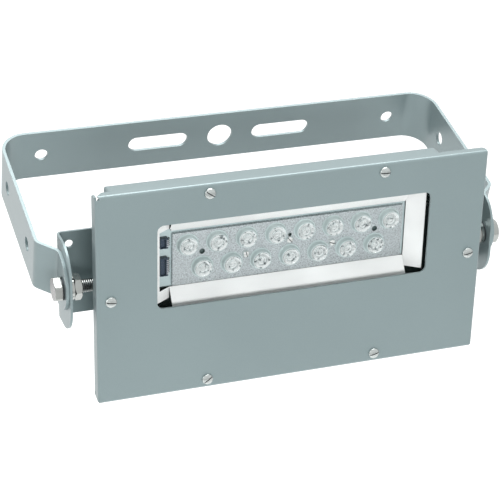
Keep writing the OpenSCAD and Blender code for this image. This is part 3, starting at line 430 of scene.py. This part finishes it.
# a copy of CAD sheet or block with its sharp edges rounded as paint or a mould leaves them;
# seam is the distance from the middle at which the lengths of one bent part meet
def softened(name, stoodFor, finishes, body, radius, seam=None, finishIndex=None):
    bm = bmesh.new()
    for node in stoodFor:
        bm.from_mesh(nodes[node].data)
    if seam:
        ends = [f for f in bm.faces
                if abs(f.normal.x) > 0.99
                and all(abs(abs(v.co.x) - seam * mm) < edgeLook["seamReach"] for v in f.verts)]
        bmesh.ops.delete(bm, geom=ends, context="FACES")
    bmesh.ops.remove_doubles(bm, verts=bm.verts, dist=edgeLook["weld"])
    bmesh.ops.recalc_face_normals(bm, faces=bm.faces)
    bmesh.ops.dissolve_limit(bm, angle_limit=math.radians(edgeLook["flat"]), verts=bm.verts, edges=bm.edges)
    weight = bm.edges.layers.float.get("bevel_weight_edge") or bm.edges.layers.float.new("bevel_weight_edge")
    for edge in bm.edges:
        if len(edge.link_faces) == 2 and edge.calc_face_angle(0) > math.radians(edgeLook["sharp"]):
            edge[weight] = 1.0
    if finishIndex:
        for face in bm.faces:
            face.material_index = finishIndex(face)
    piece = meshObject(name, bm, finishes, edgeLook["sharp"])
    rounding = piece.modifiers.new("rounding", "BEVEL")
    rounding.limit_method = "WEIGHT"
    rounding.width = radius * mm
    rounding.segments = edgeLook["segments"]
    rounding.use_clamp_overlap = True
    rounding.miter_outer = "MITER_ARC"
    flats = piece.modifiers.new("flats", "WEIGHTED_NORMAL")
    flats.mode = "FACE_AREA"
    flats.weight = edgeLook["faceWeight"]
    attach(piece, body)
    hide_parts(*stoodFor)
    return piece


# painted sheet parts
sheetEdges = {"yoke": 0.55, "facePlate": 0.4, "flange": 0.5, "bracket": 0.5, "reflector": 0.22,
              "yokeSeam": 161.25, "bracketSeam": 161.68, "litSide": (-0.97, -0.12)}
softened("yokeStrap", ["yoke_web", "yoke_left_arm", "yoke_right_arm"], [paint], yokeMount, sheetEdges["yoke"],
         seam=sheetEdges["yokeSeam"])
softened("frontPlate", ["face_plate"], [paint], lampHead, sheetEdges["facePlate"])
softened("flangeFrame", ["housing_flange"], [paint], lampHead, sheetEdges["flange"])
softened("earBracket", ["head_bracket", "bracket_left_ear", "bracket_right_ear"], [paint], lampHead,
         sheetEdges["bracket"], seam=sheetEdges["bracketSeam"])


def reflectorSide(face):
    # the flaps' lit sides are white; the base and the backs take a near-black painted shade
    steepest, flattest = sheetEdges["litSide"]
    return int(not steepest < (inHead.inverted().to_3x3() @ face.normal).y < flattest)


softened("reflectorSheet", ["reflector"], [white, paintedShadeSheet], lampHead, sheetEdges["reflector"],
         finishIndex=reflectorSide)
print("sheet parts softened")


# hexagons: a ring of points on a hexagon's outline, its corners cut by a cone
hexLook = {"segments": 72, "crown": 0.985, "chamfer": math.tan(math.radians(30))}


def hexRing(bm, height, flats, chamferTo=None, chamferSign=0, turn=0.0):
    made = bmesh.ops.create_circle(bm, cap_ends=False, radius=1.0, segments=hexLook["segments"])["verts"]
    for vert in made:
        angle = math.atan2(vert.co.y, vert.co.x) + turn
        inSector = (angle % (math.pi / 3)) - math.pi / 6
        radius = flats / 2 / math.cos(inSector)
        drop = max(0.0, radius - chamferTo) * hexLook["chamfer"] if chamferTo else 0.0
        vert.co = Vector((math.cos(angle - turn) * radius, math.sin(angle - turn) * radius,
                          height - chamferSign * drop))
    return made


def roundRing(bm, height, radius):
    made = bmesh.ops.create_circle(bm, cap_ends=False, radius=radius, segments=hexLook["segments"])["verts"]
    bmesh.ops.translate(bm, vec=(0, 0, height), verts=made)
    return made


def ringEdges(verts):
    inside = set(verts)
    return [e for e in {e for v in verts for e in v.link_edges} if set(e.verts) <= inside]


# a hexagonal body about +Z from low to high, with or without a bore and a chamfer at its low end
def hexBody(bm, low, high, flats, bore=None, lowChamfer=True, turn=0.0):
    crown = flats / 2 * hexLook["crown"]
    rings = []
    if lowChamfer:
        rings.append(roundRing(bm, low, crown))
    rings.append(hexRing(bm, low, flats, crown if lowChamfer else None, -1, turn=turn))
    rings.append(hexRing(bm, high, flats, crown, 1, turn=turn))
    rings.append(roundRing(bm, high, crown))
    if bore:
        rings.append(roundRing(bm, high, bore))
        rings.append(roundRing(bm, low, bore))
    loops = [ringEdges(ring) for ring in rings]
    for first, second in zip(loops, loops[1:] + (loops[:1] if bore else [])):
        bmesh.ops.bridge_loops(bm, edges=first + second)
    if not bore:
        bm.faces.new(rings[0])
        bm.faces.new(rings[-1])


# threaded rod about +Z with a real helix; the profile's corners are shares of half the pitch
threadLook = {"tip": 0.7, "sink": 0.25, "rootHalf": 0.72, "crestHalf": 0.16, "stepsPerTurn": 36}


def threadedRod(bm, low, high, outer, root, pitch):
    tip = threadLook["tip"]
    # the core between the crests takes the second finish, a painted shade in the thread's roots
    for face in turned(bm, [(0, low), (root, low), (root, high - tip), (root - tip, high), (0, high)]):
        face.material_index = 1
    turns = int((high - low - pitch) / pitch)
    half = pitch / 2
    start = low + half
    inner = root - threadLook["sink"]
    rootHalf = threadLook["rootHalf"] * half
    crestHalf = threadLook["crestHalf"] * half
    profile = [bm.verts.new((r, 0, start + z)) for r, z in
               ((inner, -rootHalf), (outer, -crestHalf), (outer, crestHalf), (inner, rootHalf))]
    face = bm.faces.new(profile)
    stepsPerTurn = threadLook["stepsPerTurn"]
    bmesh.ops.spin(bm, geom=[face, *face.edges, *profile], axis=(0, 0, 1), cent=(0, 0, 0),
                   dvec=(0, 0, pitch / stepsPerTurn), angle=2 * math.pi * turns, steps=stepsPerTurn * turns)


# pivot fasteners; the local +Z axis points outward along each pivot
pivotLook = {"seat": 169.7, "headHeight": 5.6, "flats": 16.8, "length": 33.2, "thread": 9.9, "root": 8.1,
             "pitch": 1.5, "nutOuter": 160.66, "nutHeight": 5.4, "lockOuter": 162.96, "lockInner": 160.68,
             "lockRadius": 8.85, "nutTurn": 20.0, "boltTurn": 48.0, "collar": (7.9, 0.25), "collarSink": 0.1,
             "rodShort": 0.05, "rodSink": 0.02, "endBand": 0.01, "nutBore": 0.35, "lockBore": 5.05,
             "lockSlack": 0.35, "lockSweep": 345, "lockRise": 0.3, "lockSteps": 46, "washerEdge": 0.2}
outward = [pivotPoint @ Matrix.Rotation(math.radians(side), 4, "Y") for side in (90, -90)]
bolt = bmesh.new()
seat = pivotLook["seat"]
collarRadius, collarHeight = pivotLook["collar"]
hexBody(bolt, seat + collarHeight, seat + pivotLook["headHeight"], pivotLook["flats"], lowChamfer=False,
        turn=math.radians(pivotLook["boltTurn"]))
collarTop = seat + collarHeight + pivotLook["collarSink"]
turned(bolt, [(0, seat), (collarRadius, seat), (collarRadius, collarTop), (0, collarTop)])
# the heads' outer ends take a darker, rougher steel
headEnd = seat + pivotLook["headHeight"] - pivotLook["endBand"]
for face in bolt.faces:
    face.material_index = 2 * int(face.calc_center_median().z > headEnd)
rod = bmesh.new()
threadedRod(rod, 0, pivotLook["length"] - pivotLook["rodShort"], pivotLook["thread"] / 2,
            pivotLook["root"] / 2, pivotLook["pitch"])
bmesh.ops.rotate(rod, cent=(0, 0, 0), matrix=Matrix.Rotation(math.pi, 3, "X"), verts=rod.verts)
bmesh.ops.translate(rod, vec=(0, 0, seat - pivotLook["rodSink"]), verts=rod.verts)
rodMesh = bpy.data.meshes.new("rod")
rod.to_mesh(rodMesh)
rod.free()
bolt.from_mesh(rodMesh)
bpy.data.meshes.remove(rodMesh)
makePiece("hexPivotBolts", copies(bolt, outward), [steel, shadeAndDarkSteel, endSteel], yokeMount, ["pivot_bolts"])

nut = bmesh.new()
hexBody(nut, pivotLook["nutOuter"] - pivotLook["nutHeight"], pivotLook["nutOuter"], pivotLook["flats"],
        bore=pivotLook["root"] / 2 + pivotLook["nutBore"], turn=math.radians(pivotLook["nutTurn"]))
makePiece("hexPivotNuts", copies(nut, outward), [steel], yokeMount, ["pivot_nuts"])

# the split washer is a square wire swept nearly once round
lock = bmesh.new()
lockRadii = (pivotLook["lockBore"], pivotLook["lockRadius"])
lockEnds = (pivotLook["lockInner"], pivotLook["lockOuter"] - pivotLook["lockSlack"])
section = [lock.verts.new((lockRadii[r], 0, lockEnds[z])) for r, z in ((0, 0), (1, 0), (1, 1), (0, 1))]
sectionFace = lock.faces.new(section)
bmesh.ops.spin(lock, geom=[sectionFace, *sectionFace.edges, *section], axis=(0, 0, 1), cent=(0, 0, 0),
               dvec=(0, 0, pivotLook["lockRise"] / pivotLook["lockSteps"]),
               angle=math.radians(pivotLook["lockSweep"]), steps=pivotLook["lockSteps"])
makePiece("splitLockWashers", copies(lock, outward), [steel], yokeMount, ["pivot_lock_washers"])
softened("flatPivotWashers", ["pivot_washers"], [shadeAndDarkSteel], yokeMount, pivotLook["washerEdge"])
print("pivot fasteners made")

# slotted pan heads: the outline holds shares of the head's radius and height, a slot is (long, wide, deep)
panLook = {"outline": [(0, 1), (0.42, 0.985), (0.68, 0.9), (0.86, 0.7), (0.97, 0.4), (1, 0.12), (0.985, 0)],
           "upright": 0.05, "inner": 0.93, "level": 0.99, "below": 0.75}


def panScrew(look):
    # the head's top looks along +Z and its seat is at zero
    radius, height, shank, length = [look[key] for key in ("headRadius", "headHeight", "shank", "length")]
    body = bmesh.new()
    turned(body, [(radius * across, height * up) for across, up in panLook["outline"]]
           + [(shank, 0), (shank, -length), (0, -length)])
    long, wide, deep = look["slot"]
    cutter = bmesh.new()
    box(cutter, (-long / 2, -wide / 2, height - deep), (long / 2, wide / 2, height + 1))
    body = carved(body, cutter)
    # the slot's walls and floor take the second finish, a painted shade in the slot
    for face in body.faces:
        middle = face.calc_center_median()
        wall = abs(face.normal.z) < panLook["upright"] and middle.xy.length < radius * panLook["inner"]
        floorOfSlot = face.normal.z > panLook["level"] and middle.z < height * panLook["below"]
        face.material_index = int(middle.z > 0 and (wall or floorOfSlot))
    return body


def facing(x, z, y, turn):
    # puts a screw's head toward the plate's front
    return (inHead @ Matrix.Translation((x, y, z)) @ Matrix.Rotation(math.radians(turn), 4, "Y")
            @ Matrix.Rotation(math.radians(90), 4, "X"))


def screwsIn(look):
    places = [facing(x, z, look["seat"], turn) for (x, z), turn in zip(look["spots"], look["turns"])]
    return copies(panScrew(look), places)


coverLook = {"spots": [(-66.8, 75.2), (66.8, 75.2), (-66.8, -75.2), (66.8, -75.2), (-139.5, 0), (139.5, 0)],
             "turns": [35, 3, -39, -14, 9, -11], "headRadius": 4.35, "headHeight": 2.4, "shank": 2.0,
             "length": 10.6, "slot": (9.0, 0.75, 0.7), "seat": 0}
makePiece("coverPanScrews", screwsIn(coverLook), [screwSteel, shadeAndDarkSteel], lampHead, ["cover_screws"])

lensScrewLook = {"spots": [(-33.75, 16.8), (0, 23.6), (33.75, 16.8)], "turns": [76, 50, 20],
                 "headRadius": 3.0, "headHeight": 1.8, "shank": 1.25, "length": 7.9,
                 "slot": (6.4, 0.6, 0.6), "seat": 14}
makePiece("lensPanScrews", screwsIn(lensScrewLook), [brightSteel, shadeAndDarkSteel], lampHead, ["lens_screws"])
print("screws made")

# lens plate and its fifteen lenses; the outline runs from a lens's foot over its rim into the bowl
lensLook = {"pitch": 22.5, "rows": ((8, 30.6), (7, 11.6)), "half": 90.0, "low": -1.5, "high": 40.5,
            "front": 14.0, "back": 17.0, "pegs": [(-67.5, 23.6), (67.5, 23.6)], "pegRadius": 2.1,
            "sideHole": (0, 27.8, 1.4), "bowlEdge": 6.45, "corner": 1.0, "edge": 0.4, "cutPast": 1,
            "pegFloor": 0.6, "screwSlack": 0.25, "holeReach": 69.8, "holeSkin": 0.05, "holeArea": 60,
            "holeFacing": 0.9,
            "outline": [(8.5, -0.4), (8.5, 0.3), (8.35, 0.5), (7.9, 0.5), (7.72, 0.9), (7.3, 3.5),
                        (7.1, 4.0), (6.8, 4.27), (6.5, 4.25), (6.2, 4.02), (5.6, 3.72), (4.8, 3.6),
                        (4.3, 3.62), (4.15, 3.95), (3.7, 3.95), (3.55, 3.3), (3.0, 2.95), (2.5, 2.9),
                        (2.35, 3.3), (1.9, 3.3), (1.75, 2.9), (0.8, 2.75), (0, 2.72)]}
lensSpots = [((i - (count - 1) / 2) * lensLook["pitch"], up)
             for count, up in lensLook["rows"] for i in range(count)]
lens = bmesh.new()
turned(lens, lensLook["outline"], segments=40,
       finishIndex=lambda face: int(face.calc_center_median().xy.length < lensLook["bowlEdge"]))
bmesh.ops.holes_fill(lens, edges=[e for e in lens.edges if e.is_boundary], sides=64)
makePiece("lensCups", copies(lens, [facing(x, z, lensLook["front"], 0) for x, z in lensSpots]),
          [lensWall, bowl], lampHead, ["lens_plate"], smooth=40)

base = bmesh.new()
lensFront, lensBack = lensLook["front"], lensLook["back"]
box(base, (-lensLook["half"], lensFront, lensLook["low"]), (lensLook["half"], lensBack, lensLook["high"]))
cornerEdges = [e for e in base.edges if abs(e.verts[0].co.y - e.verts[1].co.y) > 1]
bmesh.ops.bevel(base, geom=cornerEdges, offset=lensLook["corner"], segments=4, profile=0.5,
                affect="EDGES", material=-1)
frontEdges = [e for e in base.edges if max(v.co.y for v in e.verts) < lensFront + 0.01]
bmesh.ops.bevel(base, geom=frontEdges, offset=lensLook["edge"], segments=3, profile=0.5,
                affect="EDGES", material=-1)
holes = bmesh.new()
cutFront = lensFront - lensLook["cutPast"]
for x, z in lensLook["pegs"]:
    pin(holes, x, z, cutFront, lensBack - lensLook["pegFloor"], lensLook["pegRadius"])
sideX, sideZ, sideRadius = lensLook["sideHole"]
pin(holes, sideX, sideZ, cutFront, lensBack - lensLook["pegFloor"], sideRadius)
for x, z in lensScrewLook["spots"]:
    pin(holes, x, z, cutFront, lensBack + lensLook["cutPast"],
        lensScrewLook["shank"] + lensLook["screwSlack"])
plate = carved(base, holes)
for face in plate.faces:
    # the holes' sides and floors take the second finish, a dark grey-green painted shade
    middle = face.calc_center_median()
    inside = abs(middle.x) < lensLook["holeReach"] and middle.y > lensFront + lensLook["holeSkin"]
    small = face.calc_area() < lensLook["holeArea"] and face.normal.y < lensLook["holeFacing"]
    face.material_index = int(inside and small)
makePiece("lensPlate", plate, [lensFace, holeShadePlastic], lampHead, ["lens_plate"], place=inHead)
print("lenses made")

# connectors: a block with an open pocket and a row of contacts along its right wall
plugSizes = {"left": -99.5, "right": -93.5, "front": 12.4, "board": 17.0, "rim": 0.6, "socket": 2.2,
             "contact": (1.5, 0.55, 0.7), "contactPitch": 1.5, "contactIn": 1.1, "contactProud": 0.12,
             "round": 0.25, "rightWall": 1.7}


def connector(name, node, middle, length):
    bm = bmesh.new()
    box(bm, (plugSizes["left"], plugSizes["front"], middle - length / 2),
        (plugSizes["right"], plugSizes["board"], middle + length / 2))
    bmesh.ops.bevel(bm, geom=bm.edges[:], offset=plugSizes["round"], segments=2, profile=0.5,
                    affect="EDGES", material=-1)
    pocket = bmesh.new()
    rim = plugSizes["rim"]
    box(pocket, (plugSizes["left"] + rim, plugSizes["front"] - 1, middle - length / 2 + rim),
        (plugSizes["right"] - plugSizes["rightWall"], plugSizes["front"] + plugSizes["socket"],
         middle + length / 2 - rim))
    plug = carved(bm, pocket)
    count = int((length - 2 * rim) / plugSizes["contactPitch"])
    wide, deep, tall = plugSizes["contact"]
    left = plugSizes["right"] - plugSizes["contactIn"]
    front = plugSizes["front"] - plugSizes["contactProud"]
    for i in range(count):
        z = middle + (i - (count - 1) / 2) * plugSizes["contactPitch"]
        already = set(plug.faces)
        box(plug, (left, front, z - tall / 2), (left + wide, front + deep, z + tall / 2))
        for face in set(plug.faces) - already:
            face.material_index = 1
    makePiece(name, plug, [plugPlastic, zinc], lampHead, [node], place=inHead)


connector("smallPlug", "small_connector", middle=34.0, length=8.0)
connector("largePlug", "large_connector", middle=15.25, length=14.5)
print("connectors made")

# camera at the photograph's place
cameraLook = {"place": (-0.41256, -1.04117, 0.81463), "right": (0.94323, -0.31438, 0.10713),
              "down": (-0.1257, -0.63647, -0.76099), "ahead": (0.30742, 0.70433, -0.63985),
              "lens": 122.567, "sensor": 36, "near": 0.05, "far": 50}
camera = bpy.data.objects.new("camera", bpy.data.cameras.new("camera"))
camera.data.lens = cameraLook["lens"]
camera.data.sensor_width = cameraLook["sensor"]
camera.data.sensor_fit = "HORIZONTAL"
camera.data.clip_start = cameraLook["near"]
camera.data.clip_end = cameraLook["far"]
up, behind = [[-v for v in cameraLook[key]] for key in ("down", "ahead")]
axes = Matrix((cameraLook["right"], up, behind)).transposed()
camera.matrix_world = Matrix.Translation(cameraLook["place"]) @ axes.to_4x4()
bpy.context.scene.collection.objects.link(camera)
bpy.context.scene.camera = camera

# floor, world and lamps
floorLook = {"height": -0.75, "size": 14.0, "color": 0.76, "rough": 0.9, "lift": 0.3}
floorMesh = bmesh.new()
bmesh.ops.create_grid(floorMesh, x_segments=1, y_segments=1, size=floorLook["size"],
                      matrix=Matrix.Translation((0, 0, floorLook["height"])))
floorData = bpy.data.meshes.new("floor")
floorMesh.to_mesh(floorData)
floorMesh.free()
floor = bpy.data.objects.new("floor", floorData)
bpy.context.scene.collection.objects.link(floor)
floorFinish = Finish("paleFloor", (floorLook["color"],) * 3, floorLook["rough"])
# to the camera, in mirrors and through glass the floor glows a little, so that it reads as white
rays = floorFinish.node("ShaderNodeLightPath", {}, {}, "Is Camera Ray")
others = [Wire(floorFinish, rays.socket.node.outputs[kind])
          for kind in ("Is Glossy Ray", "Is Transmission Ray")]
seen = rays + others[0] + others[1]
floorFinish.set("Emission Color", (1, 1, 1, 1))
floorFinish.set("Emission Strength", seen * floorLook["lift"])
floor.data.materials.append(floorFinish.material)

# the world is white to the camera, in mirrors and through glass, and lights with a share of that
worldLook = {"light": 0.36}
world = bpy.data.worlds.new("studio")
bpy.context.scene.world = world
world.use_nodes = True
sky = world.node_tree
background = sky.nodes["Background"]
path = sky.nodes.new("ShaderNodeLightPath")
firstTwo = sky.nodes.new("ShaderNodeMath")
firstTwo.operation = "ADD"
sky.links.new(path.outputs["Is Camera Ray"], firstTwo.inputs[0])
sky.links.new(path.outputs["Is Transmission Ray"], firstTwo.inputs[1])
anyKind = sky.nodes.new("ShaderNodeMath")
anyKind.operation = "ADD"
sky.links.new(firstTwo.outputs[0], anyKind.inputs[0])
sky.links.new(path.outputs["Is Glossy Ray"], anyKind.inputs[1])
strength = sky.nodes.new("ShaderNodeMath")
strength.operation = "MULTIPLY_ADD"
strength.inputs[1].default_value = 1 - worldLook["light"]
strength.inputs[2].default_value = worldLook["light"]
strength.use_clamp = True
sky.links.new(anyKind.outputs[0], strength.inputs[0])
sky.links.new(strength.outputs[0], background.inputs["Strength"])
background.inputs["Color"].default_value = (1, 1, 1, 1)


lampTarget = Vector((0, -0.15, 0))


# a rectangular lamp that looks at the object; one that isn't mirrored doesn't show in metal
def softLamp(name, place, size, power, mirrored=True):
    data = bpy.data.lights.new(name, "AREA")
    data.shape = "RECTANGLE"
    data.size, data.size_y = size
    data.energy = power
    lamp = bpy.data.objects.new(name, data)
    lamp.location = place
    lamp.visible_glossy = mirrored
    lamp.rotation_euler = (lampTarget - Vector(place)).to_track_quat("-Z", "Y").to_euler()
    bpy.context.scene.collection.objects.link(lamp)


softLamp("topSoftbox", place=(0.0, 0.95, 1.9), size=(2.4, 2.0), power=77)
softLamp("leftSoftbox", place=(-2.0, -0.2, 0.5), size=(1.0, 1.0), power=5)
softLamp("frontSoftbox", place=(-0.1, -1.95, 0.68), size=(1.3, 0.5), power=33, mirrored=False)
print("camera, floor and lamps placed")

bpy.context.scene.view_settings.view_transform = "Standard"
